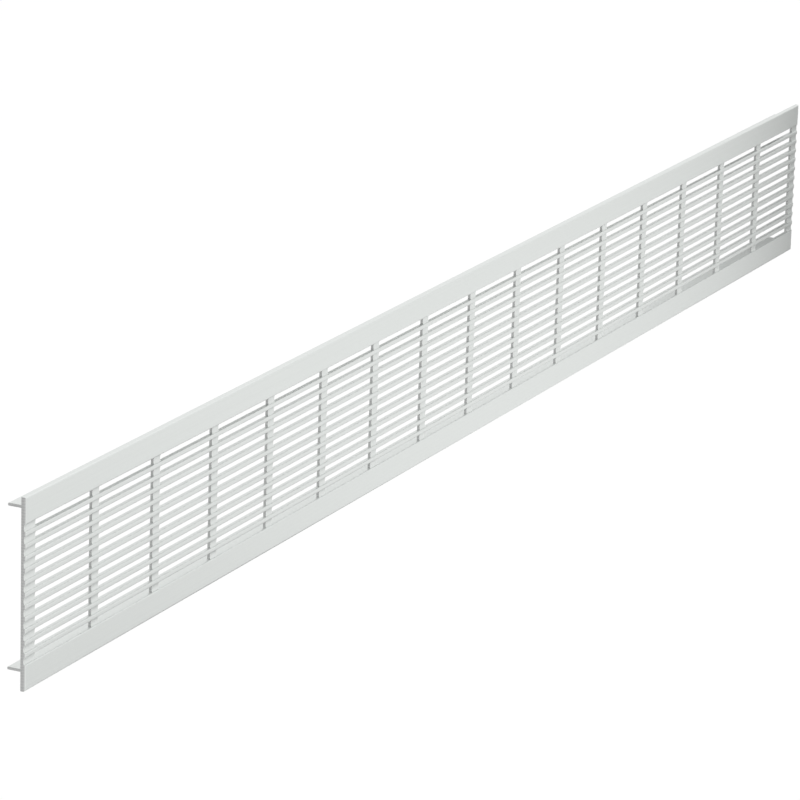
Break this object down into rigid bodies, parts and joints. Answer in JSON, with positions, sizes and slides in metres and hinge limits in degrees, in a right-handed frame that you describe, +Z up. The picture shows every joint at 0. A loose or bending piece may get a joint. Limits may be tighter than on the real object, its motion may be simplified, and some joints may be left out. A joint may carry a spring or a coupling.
{
  "type": "ventilation grille",
  "caption": "Long recess-mounted ventilation grille: a ribbed front plate with slots behind its ribs and two flanges along the back that go into the cut-out.",
  "frame": {"origin": "middle of the front plate's back face, the plane that seats on the panel", "axes": "+X along the grille, +Y into the cut-out (the front faces -Y), +Z up"},
  "size_m": [0.8, 0.0116, 0.08],
  "materials": {
    "anodised_aluminium": "natural silver anodised extrusion, fine satin"
  },
  "bodies": {
    "root": {"grille_profile": "anodised_aluminium"}
  },
  "joints": []
}
